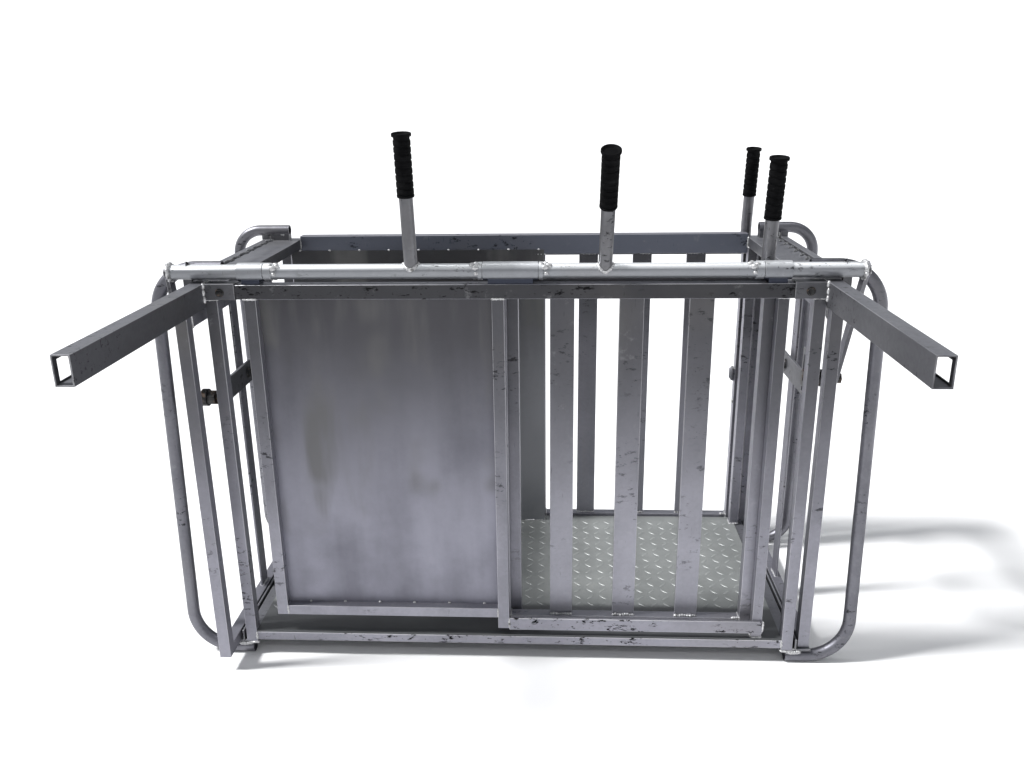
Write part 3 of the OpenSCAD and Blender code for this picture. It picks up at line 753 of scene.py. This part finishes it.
@dataclass
class TubeFrame:
    """The welded frame: rails, posts, sills, hoops, tracks, arms, panel and keepers."""

    bead: float = 0.0026
    edge: float = 0.0012
    rail_edge: float = 1.6
    end_edge: float = 0.9
    bearing_edge: float = 0.0006
    bolt_edge: float = 0.0007
    corners: tuple[str, ...] = tuple(f"post_{way}" for way in CORNERS)
    inner_posts: tuple[str, ...] = ("front_close_post", "front_inner_post", "back_mid_post", "back_close_post")
    rails: tuple[str, ...] = ("front_rail", "front_sill", "back_sill", "front_track", "back_track",
                              "front_keeper", "back_keeper")
    ends: tuple[str, ...] = ("end_rail", "outer_strip", "end_sill", "gate_track", "arm")
    hoops: tuple[str, ...] = tuple(f"hoop_{way}" for way in CORNERS)
    bearings: tuple[str, ...] = ("bearing_left", "bearing_mid", "bearing_right")
    tack: float = 0.0032
    panel_tacks: int = 6
    panel_corner: float = 0.022
    pad_half: float = 0.0125
    pad_runs: tuple[Pair, ...] = ((0.17, 0.46), (0.55, 0.84))
    bracket: float = 0.003
    bracket_lumps: Pair = (0.033, 0.005)
    back_drop: float = 0.009
    back_foot: float = 0.016
    post_edges: tuple[float, ...] = (0.002, 0.023, 0.577, 0.598)
    post_foot: float = 0.0352
    post_run: float = 0.004
    stitches: tuple[float, ...] = (0.016, 0.022, 0.014, 0.026, 0.018, 0.022, 0.015, 0.02)
    stitch_from: float = 0.07
    stitch_pitch: float = 0.047
    stitch_half: float = 0.007
    saddle_half: float = 0.0085
    strip_to: float = 0.629
    saddle_x: Pair = (0.607, 0.636)
    saddle_z: float = 0.0245
    lump_x: Pair = (0.612, 0.634)
    lump_z: float = 0.028
    lump_out: float = 0.0115
    sheet_tacks: tuple[int, float, float] = (9, 0.024, 0.0785)
    sheet_runs: tuple[int, float, float] = (6, 0.06, 0.11)
    sheet_run: float = 0.03
    run: WeldRun = field(init=False)

    def dress(self) -> None:
        """Puts the finishes on the frame's nodes."""
        for node in (*self.corners, *self.inner_posts, "front_panel_frame"):
            dress(node, Finish.TUBE, self.edge)
        for node in self.rails:
            dress(node, Finish.RAIL, self.edge * (self.rail_edge if node == "front_rail" else 1.0))
        dress("back_rail", Finish.BACK_RAIL, self.edge)
        for node in ("floor_joist", *(f"{kind}_{side}" for kind in self.ends for side in SIDES)):
            dress(node, Finish.ARM, self.edge * self.end_edge)
        for node in self.hoops:
            dress(node, Finish.HOOP)
        for node in self.bearings:
            dress(node, Finish.BEARING, self.bearing_edge)
        dress("front_sheet", Finish.SHEET)
        dress("back_sheet", Finish.BACK)
        for side in SIDES:
            dress(f"arm_bolt_{side}", Finish.BOLT, self.bolt_edge)

    def build(self) -> None:
        """Lays the frame's welds."""
        self.run = WeldRun("frame")
        self._posts()
        self._panel()
        self._bearings()
        for side in SIDES:
            self._end(side)
        self._back()
        self.run.finish("frame_welds")
        self.run = WeldRun("frame")
        for side in SIDES:
            self._seam(side)
        self.run.finish("end_rail_shadow_stitches", Finish.SEAM)

    def _posts(self) -> None:
        """Seams at the heads and feet of the posts."""
        r = self.bead
        for node in self.corners:
            low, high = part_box(node)
            self.run.box_seam(low, high, 2, high.z, r * 0.8)
            self.run.box_seam(low, high, 2, low.z, r)
            inner = low.x if high.x > 0 else high.x
            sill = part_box("front_sill" if "front" in node else "back_sill")
            for y in (sill[0].y, sill[1].y):
                self.run.bead([(inner, y, sill[0].z), (inner, y, sill[1].z)], r)
        for node in self.inner_posts:
            low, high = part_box(node)
            self.run.box_seam(low, high, 2, low.z, r)
            self.run.box_seam(low, high, 2, high.z, r * 0.8)

    def _panel(self) -> None:
        """Seams and tacks on the front panel and the front track."""
        r = self.bead
        low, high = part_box("front_panel_frame")
        sheet_low, sheet_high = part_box("front_sheet")
        for x0, x1 in ((low.x, sheet_low.x), (sheet_high.x, high.x)):
            self.run.box_seam(Vector((x0, low.y, 0)), Vector((x1, high.y, 0)), 2, high.z, r * 0.8)
        for x in (sheet_low.x, sheet_high.x):
            self.run.bead([(x, low.y, sheet_low.z - self.panel_corner), (x, low.y, sheet_low.z)], r * 0.8)
        for i in range(self.panel_tacks):
            x = sheet_low.x + (sheet_high.x - sheet_low.x) * (i + 0.6) / self.panel_tacks
            self.run.tack(Vector((x, sheet_low.y - 0.001, sheet_low.z + 0.001)), self.tack)
        track_low, track_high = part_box("front_track")
        y = track_low.y + 0.001
        for x in (track_low.x, track_high.x):
            self.run.bead([(x, y, track_low.z + 0.005), (x, y, track_high.z)], r)

    def _bearings(self) -> None:
        """Beads along the rear of the pads under the shaft bearings."""
        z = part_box("front_rail")[1].z + 0.001
        for node in self.bearings:
            low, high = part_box(node)
            y = (low.y + high.y) / 2.0 + self.pad_half
            span = high.x - low.x
            for a, b in self.pad_runs:
                self.run.bead([(low.x + span * a, y, z), (low.x + span * b, y, z)], self.bead * 1.3)

    def _end(self, side: str) -> None:
        """Welds at one end: arm bracket, end rail, hoops and track.

        Args:
            side: left or right.
        """
        s = sign(side)
        r = self.bead
        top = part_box(f"arm_{side}")[1].z
        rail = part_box("front_rail")[1]
        x = s * abs(rail.x)
        face = YF - self.bracket
        a, b = (Vector((x, face - 0.001, top - down)) for down in self.bracket_lumps)
        self.run.row(a, b, 3, r * 1.8, (0.95, 0.9, 1.7))
        self.run.bead([(x, face, top), (x, rail.y, top)], r)
        inner = s * min(abs(c.x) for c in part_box(f"end_rail_{side}"))
        self.run.bead([(inner, rail.y, rail.z), (x, rail.y, rail.z)], r * 1.2)
        back_low, back_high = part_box("back_rail")
        z = back_high.z - self.back_drop
        self.run.bead([(inner, back_low.y, back_low.z + self.back_foot), (inner, back_low.y, z)], r)
        self.run.bead([(inner, back_low.y, z), (inner, back_high.y, z)], r)
        for end in ("front", "back"):
            self._hoop(side, end)
        for back in self.post_edges:
            self.run.bead([(x, YF + back, self.post_foot), (x + s * self.post_run, YF + back, self.post_foot)], r)

    def _seam(self, side: str) -> None:
        """Short slanting stitches along the seam between an end rail's two tubes, dark as painted shadow.

        Args:
            side: left or right.
        """
        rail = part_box("front_rail")[1]
        x = sign(side) * abs(rail.x)
        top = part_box("end_rail_left")[1].z + 0.0004
        for i, span in enumerate(self.stitches):
            y = rail.y + self.stitch_from + i * self.stitch_pitch
            self.run.bead([(x - self.stitch_half, y, top), (x + self.stitch_half, y + span, top)], self.bead * 1.1)

    def _hoop(self, side: str, end: str) -> None:
        """Beads where a hoop's arms sit on their saddles.

        Args:
            side: left or right.
            end: front or back.
        """
        s = sign(side)
        low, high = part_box(f"hoop_{end}_{side}")
        front = end == "front"
        top_y = high.y - PIPE if front else low.y + PIPE
        low_y = low.y + PIPE if front else high.y - PIPE
        start = s * (min(abs(low.x), abs(high.x)) + 0.004)
        seat = high.z - 2.0 * PIPE + 0.003
        for dy in (-self.saddle_half, self.saddle_half):
            y = top_y + dy
            self.run.bead([(start, y, seat), (s * self.strip_to, y, seat)], self.bead * 1.3)
            y = low_y + dy * 1.2
            self.run.bead([(s * x, y, self.saddle_z) for x in self.saddle_x], self.bead * 1.2)
        y = low_y - self.lump_out if front else low_y + self.lump_out
        a, b = (Vector((s * x, y, self.lump_z)) for x in self.lump_x)
        self.run.row(a, b, 6, self.bead * 1.5)

    def _back(self) -> None:
        """Tack welds along the back sheet and feet of the back pieces."""
        low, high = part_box("back_sheet")
        count, first, pitch = self.sheet_tacks
        for i in range(count):
            self.run.tack(Vector((low.x + first + i * pitch, low.y + 0.0002, high.z + 0.0008)), self.tack)
        count, first, pitch = self.sheet_runs
        y = low.y - 0.0005
        for i in range(count):
            x = low.x + first + i * pitch
            self.run.bead([(x, y, low.z), (x + self.sheet_run, y, low.z)], self.bead)
        low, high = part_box("front_keeper")
        for x in (low.x, high.x):
            self.run.bead([(x, low.y, high.z - 0.009), (x, low.y, high.z)], self.bead)


@dataclass
class TreadFloor:
    """The floor plate with its raised teardrop lugs."""

    pitch: float = 0.0302
    length: float = 0.026
    width: float = 0.0062
    rise: float = 0.001
    front: float = 0.096
    back: float = 0.566
    margin: float = 0.02
    first: Pair = (0.014, 0.006)
    lean: float = math.radians(45.0)
    sides: int = 10

    def dress(self) -> None:
        """Puts the plate's finish on."""
        dress("floor_plate", Finish.TREAD)

    def build(self) -> None:
        """Sows the lugs in rows that lean left and right by turns."""
        low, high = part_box("floor_plate")
        mesh = bmesh.new()
        nx = int((high.x - low.x - self.margin) / self.pitch)
        ny = int((self.back - self.front) / self.pitch)
        for i in range(nx + 1):
            for j in range(ny + 1):
                x = low.x + self.first[0] + i * self.pitch
                y = YF + self.front + self.first[1] + j * self.pitch
                self._lug(mesh, Vector((x, y, high.z)), self.lean if (i + j) % 2 else -self.lean)
        add_piece("tread_lugs", mesh, Finish.LUG, "frame")

    def _lug(self, mesh: bmesh.types.BMesh, at: Vector, lean: float) -> None:
        """One teardrop lug.

        Args:
            mesh: the mesh to add to.
            at: its middle on the plate.
            lean: its angle in radians.
        """
        turn = Matrix.Rotation(lean, 3, "Z")
        rings: list[Ring] = []
        for share, lift in ((1.0, -0.0002), (0.72, self.rise * 0.8), (0.34, self.rise)):
            ring = []
            for k in range(self.sides):
                a = 2.0 * math.pi * k / self.sides
                taper = 1.0 - 0.35 * math.cos(a)
                local = Vector((math.cos(a) * self.length / 2.0 * share,
                                math.sin(a) * self.width / 2.0 * share * taper, lift))
                ring.append(mesh.verts.new(at + turn @ local))
            rings.append(ring)
        for a, b in zip(rings, rings[1:]):
            wall(mesh, a, b)
        mesh.faces.new(rings[-1])


@dataclass
class LeverShaft:
    """One cross shaft with its lever, grip, crank and pin."""

    side: str
    stops: tuple[float, ...] = (0.069, 0.475)
    shaft: float = 0.015
    crank_edge: float = 0.0009
    pin_edge: float = 0.0006
    foot_points: int = 48
    foot_bead: float = 0.0036
    lump: float = 0.0052
    crank_bead: float = 0.0042
    crank_lumps: int = 9
    cap: float = 0.0085
    cap_lump: float = 0.0088
    stop_lumps: tuple[tuple[int, float, float], ...] = (
        (13, -0.007, 0.0048), (16, 0.0, 0.0066), (14, 0.007, 0.0054), (21, 0.002, 0.0042), (6, 0.0, 0.0052),
        (33, -0.002, 0.0048))
    run: WeldRun = field(init=False)

    @property
    def axis_point(self) -> Vector:
        """A point on the shaft's axis."""
        low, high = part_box(f"bearing_{self.side}")
        return Vector((0.0, (low.y + high.y) / 2.0, high.z - (high.y - low.y) / 2.0))

    def lean(self) -> float:
        """The lever's forward lean in radians, from the grip's place."""
        low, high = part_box(f"lever_grip_{self.side}")
        way = (low + high) / 2.0 - self.axis_point
        return math.atan2(-way.y, way.z)

    def dress(self) -> None:
        """Puts the finishes on the shaft's nodes."""
        dress(f"shaft_{self.side}", Finish.SHAFT)
        dress(f"lever_{self.side}", Finish.STEM)
        dress(f"crank_{self.side}", Finish.TUBE, self.crank_edge)
        dress(f"crank_pin_{self.side}", Finish.BOLT, self.pin_edge)
        dress(f"lever_grip_{self.side}", Finish.GRIP, GRIP_EDGE)

    def build(self) -> None:
        """Lays the welds at the lever's foot, the stops and the crank."""
        self.run = WeldRun(f"{self.side}_shaft")
        self._foot()
        self._stops()
        self._crank()
        self.run.finish(f"{self.side}_shaft_welds")

    def _foot(self) -> None:
        """A bead with lumps where the lever's stem is cut to the shaft."""
        low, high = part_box(f"lever_{self.side}")
        mid = Vector(((low.x + high.x) / 2.0, self.axis_point.y, self.axis_point.z))
        turn = Matrix.Rotation(self.lean(), 3, "X")
        foot = []
        for k in range(self.foot_points):
            a = 2.0 * math.pi * k / self.foot_points
            x, y = math.cos(a) * PIPE, math.sin(a) * PIPE
            foot.append(mid + turn @ Vector((x, y, math.sqrt(self.shaft ** 2 - y ** 2))))
        self.run.bead(foot, self.foot_bead, True)
        for p in foot[::6]:
            self.run.tack(p, self.lump)

    def _stops(self) -> None:
        """Rough beads over the stop rings beside the bearings."""
        for x in self.stops:
            at = Vector((sign(self.side) * x, self.axis_point.y, self.axis_point.z))
            ring = circle(at, ACROSS, UP, self.shaft + 0.0006)
            for k, along, size in self.stop_lumps:
                self.run.tack(ring[k] + Vector((along, 0.0, 0.0)), size, (1.2, 0.9, 0.9))

    def _crank(self) -> None:
        """A ring of weld behind the crank and a plug weld on its outer face."""
        s = sign(self.side)
        inner = s * min(abs(c.x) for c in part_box(f"crank_{self.side}"))
        joint = Vector((inner, self.axis_point.y, self.axis_point.z))
        self.run.bead(circle(joint, ACROSS, UP, self.shaft + 0.0005), self.crank_bead, True)
        for p in circle(joint, ACROSS, UP, self.shaft + 0.001, self.crank_lumps):
            self.run.tack(p, self.lump, (0.8, 1.0, 1.0))
        cap = joint + Vector((s * self.cap, 0, 0))
        self.run.bead(circle(cap, ACROSS, UP, self.cap), self.foot_bead, True)
        self.run.tack(cap, self.cap_lump, (0.35, 1.0, 1.0))


@dataclass
class EndGate:
    """One sliding end gate."""

    side: str
    bead: float = 0.0024
    edge: float = 0.0011
    bar_edge: float = 0.0007
    top: float = 0.813
    flat_back: float = 0.302
    flat_width: float = 0.04
    flat_half: float = 0.0025
    bar_height: float = 0.05
    boss: float = 0.009
    foot_drop: float = 0.018
    washer: tuple[Pair, ...] = ((-0.001, 0.0125), (0.0008, 0.0125))
    head: tuple[Pair, ...] = ((0.0008, 0.0105), (0.0026, 0.0105), (0.0032, 0.0092))
    run: WeldRun = field(init=False)

    def dress(self) -> None:
        """Puts the finishes on the gate's nodes."""
        dress(f"gate_{self.side}", Finish.TUBE, self.edge)
        dress(f"gate_bar_{self.side}", Finish.ARM, self.bar_edge)

    def build(self) -> None:
        """Lays the welds at the gate's corners, its middle flat and its cross bar."""
        self.run = WeldRun(f"{self.side}_gate")
        low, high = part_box(f"gate_{self.side}")
        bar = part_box(f"gate_bar_{self.side}")[0].z
        tube = high.x - low.x
        s = sign(self.side)
        face = s * min(abs(low.x), abs(high.x))
        outer = s * max(abs(low.x), abs(high.x))
        foot, head = low.z + tube, self.top - tube
        for y in (low.y + tube, high.y - tube):
            self.run.box_seam(Vector((low.x, 0, head)), Vector((high.x, 0, head + tube)), 1, y, self.bead)
            self.run.bead([(outer, y, foot - self.foot_drop), (outer, y, foot), (face, y, foot)], self.bead)
        middle = (low.x + high.x) / 2.0
        flat_end = low.y + self.flat_back
        for z in (foot, head):
            for x in (middle - self.flat_half, middle + self.flat_half):
                self.run.bead([(x, flat_end - self.flat_width, z), (x, flat_end, z)], self.bead * 1.2)
        for z in (bar, bar + self.bar_height):
            self.run.bead([(face, high.y - tube + 0.002, z), (face, high.y - 0.002, z)], self.bead)
        seat = Vector((middle - s * self.flat_half, flat_end - self.flat_width / 2.0, bar + self.bar_height / 2.0))
        self.run.bead(circle(seat, ACROSS, UP, self.boss), self.bead, True)
        self.run.finish(f"{self.side}_gate_welds")
        self._bar_bolt(seat)

    def _bar_bolt(self, seat: Vector) -> None:
        """The low hex head on the inner face of the bar, where it is bolted to the middle flat.

        Args:
            seat: the bolt's place on the flat.
        """
        s = sign(self.side)
        face = Vector((s * min(abs(c.x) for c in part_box(f"gate_bar_{self.side}")), seat.y, seat.z))
        mesh = bmesh.new()
        for steps, count in ((self.washer, 24), (self.head, 6)):
            rings = [[mesh.verts.new(p) for p in circle(face - Vector((s * depth, 0, 0)), ACROSS, UP, radius, count)]
                     for depth, radius in steps]
            for a, b in zip(rings, rings[1:]):
                wall(mesh, a, b)
            mesh.faces.new(rings[-1])
        add_piece(f"{self.side}_bar_bolt", mesh, Finish.BOLT, f"{self.side}_gate")


@dataclass
class SlideDoor:
    """One slatted sliding door with its bent handle."""

    side: str
    slats: int = 3
    pitch: float = 0.141
    first: float = 0.1395
    slat: float = 0.05
    shoe: float = 0.03
    edge: float = 0.0012
    bead: float = 0.0026
    handle_bead: float = 0.0032
    handle_lump: float = 0.0046
    tab: float = 0.0
    tab_size: Triple = (0.0155, 0.004, 0.04)
    tab_ease: float = 0.0008
    run: WeldRun = field(init=False)

    def dress(self) -> None:
        """Puts the finishes on the door's nodes."""
        dress(f"{self.side}_door", Finish.SLAT, self.edge)
        dress(f"{self.side}_door_handle", Finish.STEM)
        dress(f"{self.side}_door_grip", Finish.GRIP, GRIP_EDGE)

    def build(self) -> None:
        """Lays the welds at the slats, the corners and the handle's foot."""
        self.run = WeldRun(f"{self.side}_slide_door")
        low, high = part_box(f"{self.side}_door")
        tube = high.y - low.y
        foot, head = low.z + self.shoe, high.z - tube
        mid = (low.y + high.y) / 2.0
        for i in range(self.slats):
            x0 = low.x + self.first + i * self.pitch - self.slat / 2.0
            for y in (mid - 0.0045, mid + 0.0045):
                for z in (foot, head):
                    self.run.bead([(x0 + 0.002, y, z), (x0 + self.slat - 0.002, y, z)], self.bead * 1.25)
            a, b = (Vector((x, mid - 0.006, foot + 0.001)) for x in (x0 + 0.003, x0 + self.slat - 0.003))
            self.run.row(a, b, 9, self.bead * 1.5)
        for x in (low.x + tube, high.x - tube):
            self.run.box_seam(Vector((0, low.y, low.z)), Vector((0, high.y, foot)), 0, x, self.bead * 0.9)
        for x0, x1 in ((low.x, low.x + tube), (high.x - tube, high.x)):
            self.run.box_seam(Vector((x0, low.y, 0)), Vector((x1, high.y, 0)), 2, head, self.bead * 0.8)
        self._handle(high.z)
        corner = Vector((high.x - tube, low.y + 0.002, foot))
        self.run.row(corner, corner - Vector((0.014, 0, 0)), 4, self.bead * 1.4)
        if self.tab:
            self._tab(Vector((high.x - tube, low.y + 0.003, low.z + self.tab)))
        self.run.finish(f"{self.side}_door_welds")

    def _handle(self, top: float) -> None:
        """A bead with lumps round the handle's foot.

        Args:
            top: height of the door's top.
        """
        low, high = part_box(f"{self.side}_door_handle")
        base = Vector(((low.x + high.x) / 2.0, high.y - PIPE, top))
        ring = circle(base, Vector((1, 0, 0)), ACROSS, PIPE)
        self.run.bead(ring, self.handle_bead, True)
        for p in ring[::6]:
            self.run.tack(p, self.handle_lump)

    def _tab(self, at: Vector) -> None:
        """A small chamfered stop tab on the leading stile, with its welds.

        Args:
            at: the tab's lower corner on the stile.
        """
        mesh = bmesh.new()
        wide, thick, tall = self.tab_size
        outline = ((0.001, 0.0), (-wide * 0.6, 0.002), (-wide, 0.011), (-wide, tall - 0.003), (-wide + 0.003, tall),
                   (0.001, tall))
        rings = [[mesh.verts.new(at + Vector((x, y, z))) for x, z in outline] for y in (0.0, thick)]
        mesh.faces.new(rings[0])
        mesh.faces.new(rings[1])
        wall(mesh, *rings)
        bmesh.ops.bevel(mesh, geom=list(mesh.edges), offset=self.tab_ease, segments=2, affect="EDGES")
        add_piece(f"{self.side}_door_tab", mesh, Finish.SLAT, f"{self.side}_slide_door")
        self.run.row(at + Vector((-0.009, 0.001, tall)), at + Vector((0.0, 0.0, tall - 0.004)), 3, 0.0034)
        self.run.tack(at + Vector((0.0, 0.002, -0.058)), 0.0052, (0.8, 0.8, 1.5))


@dataclass
class Studio:
    """Pale floor, soft light and the camera at the photograph's viewing angle."""

    eye: Triple = (0.0922, -1.77165, 1.2177)
    yaw: float = -0.0535
    pitch: float = 0.3163
    roll: float = -0.0143
    lens: float = 30.88
    sensor: float = 36.0
    key: float = 5.2
    key_width: float = 9.0
    key_rise: float = 50.0
    key_turn: float = 8.0
    key_far: float = 5.0
    surround: float = 0.35
    surround_tint: Triple = (0.90, 0.94, 1.0)
    strips: tuple[tuple[float, Triple, float], ...] = ((18.0, (0.0, 0.42, 3.0), 0.0), (11.0, (0.0, -2.4, 2.7), 52.0))
    strip_size: Pair = (4.0, 0.28)
    sweep_from: float = 4.0
    sweep: float = 0.03
    flat_rings: int = 6
    rings: int = 24
    ring_step: float = 0.6
    spokes: int = 96

    def build(self) -> None:
        """Makes the floor, lights and camera."""
        self._floor()
        self._world()
        self._sun()
        self._strip()
        self._camera()
        bpy.context.scene.view_settings.view_transform = "Standard"

    def _floor(self) -> None:
        """Lays the floor as a wide disc that rises in a smooth sweep at its rim."""
        mesh = bmesh.new()
        hub = mesh.verts.new((0, 0, 0))
        rings: list[Ring] = []
        for i in range(1, self.rings):
            past = max(0, i - self.flat_rings) * self.ring_step
            radius = self.sweep_from * min(i, self.flat_rings) / self.flat_rings + past
            rise = Vector((0.0, 0.0, self.sweep * past ** 2))
            rings.append([mesh.verts.new(p) for p in circle(rise, Vector((1, 0, 0)), ACROSS, radius, self.spokes)])
        for k in range(self.spokes):
            mesh.faces.new((hub, rings[0][k], rings[0][(k + 1) % self.spokes]))
        for a, b in zip(rings, rings[1:]):
            wall(mesh, b, a)
        for face in mesh.faces:
            face.smooth = True
        data = bpy.data.meshes.new("floor")
        mesh.to_mesh(data)
        mesh.free()
        data.materials.append(Finish.FLOOR.material())
        show("floor", data)

    def _world(self) -> None:
        """Sets an even pale surround."""
        world = bpy.data.worlds.new("surround")
        world.use_nodes = True
        back = world.node_tree.nodes["Background"]
        back.inputs["Color"].default_value = (*self.surround_tint, 1.0)
        back.inputs["Strength"].default_value = self.surround
        bpy.context.scene.world = world

    def _sun(self) -> None:
        """Adds the broad, soft-edged key light from the left, a little to the front."""
        lamp = bpy.data.lights.new("key", "SUN")
        lamp.energy = self.key
        lamp.angle = math.radians(self.key_width)
        obj = show("key", lamp)
        rise, turn = math.radians(self.key_rise), math.radians(self.key_turn)
        way = Vector((-math.cos(turn) * math.cos(rise), -math.sin(turn) * math.cos(rise), math.sin(rise)))
        obj.location = way * self.key_far
        obj.rotation_euler = (-way).to_track_quat("-Z", "Y").to_euler()

    def _strip(self) -> None:
        """Adds long soft strips overhead and in front, which draw bright lines along the shafts and the rail's edge."""
        for power, place, tilt in self.strips:
            lamp = bpy.data.lights.new("strip", "AREA")
            lamp.energy = power
            lamp.shape = "RECTANGLE"
            lamp.size, lamp.size_y = self.strip_size
            obj = show("strip", lamp)
            obj.location = place
            obj.rotation_euler = (math.radians(tilt), 0.0, 0.0)

    def _camera(self) -> None:
        """Sets the camera where the photograph was taken from."""
        st, ct = math.sin(self.pitch), math.cos(self.pitch)
        sy, cy = math.sin(self.yaw), math.cos(self.yaw)
        ahead = Vector((sy * ct, cy * ct, -st))
        right = Vector((cy, -sy, 0.0))
        up = right.cross(ahead)
        sr, cr = math.sin(self.roll), math.cos(self.roll)
        right, up = right * cr + up * sr, up * cr - right * sr
        place = Matrix((right, up, -ahead)).transposed().to_4x4()
        place.translation = Vector(self.eye)
        data = bpy.data.cameras.new("camera")
        data.sensor_fit = "HORIZONTAL"
        data.sensor_width = self.sensor
        data.lens = self.lens
        obj = show("camera", data)
        obj.matrix_world = place
        bpy.context.scene.camera = obj


def main() -> None:
    """Builds and dresses every sub-assembly, then sets the studio."""
    logging.basicConfig(level=logging.INFO, format="%(name)s %(message)s")
    parts: Iterable = (TubeFrame(), TreadFloor(), *map(LeverShaft, SIDES), *map(EndGate, SIDES),
                       SlideDoor("front"), SlideDoor("back", tab=0.432))
    for part in parts:
        part.dress()
        part.build()
        LOG.info("%s done", type(part).__name__)
    Studio().build()
    bpy.context.view_layer.update()


if __name__ == "__main__":
    main()
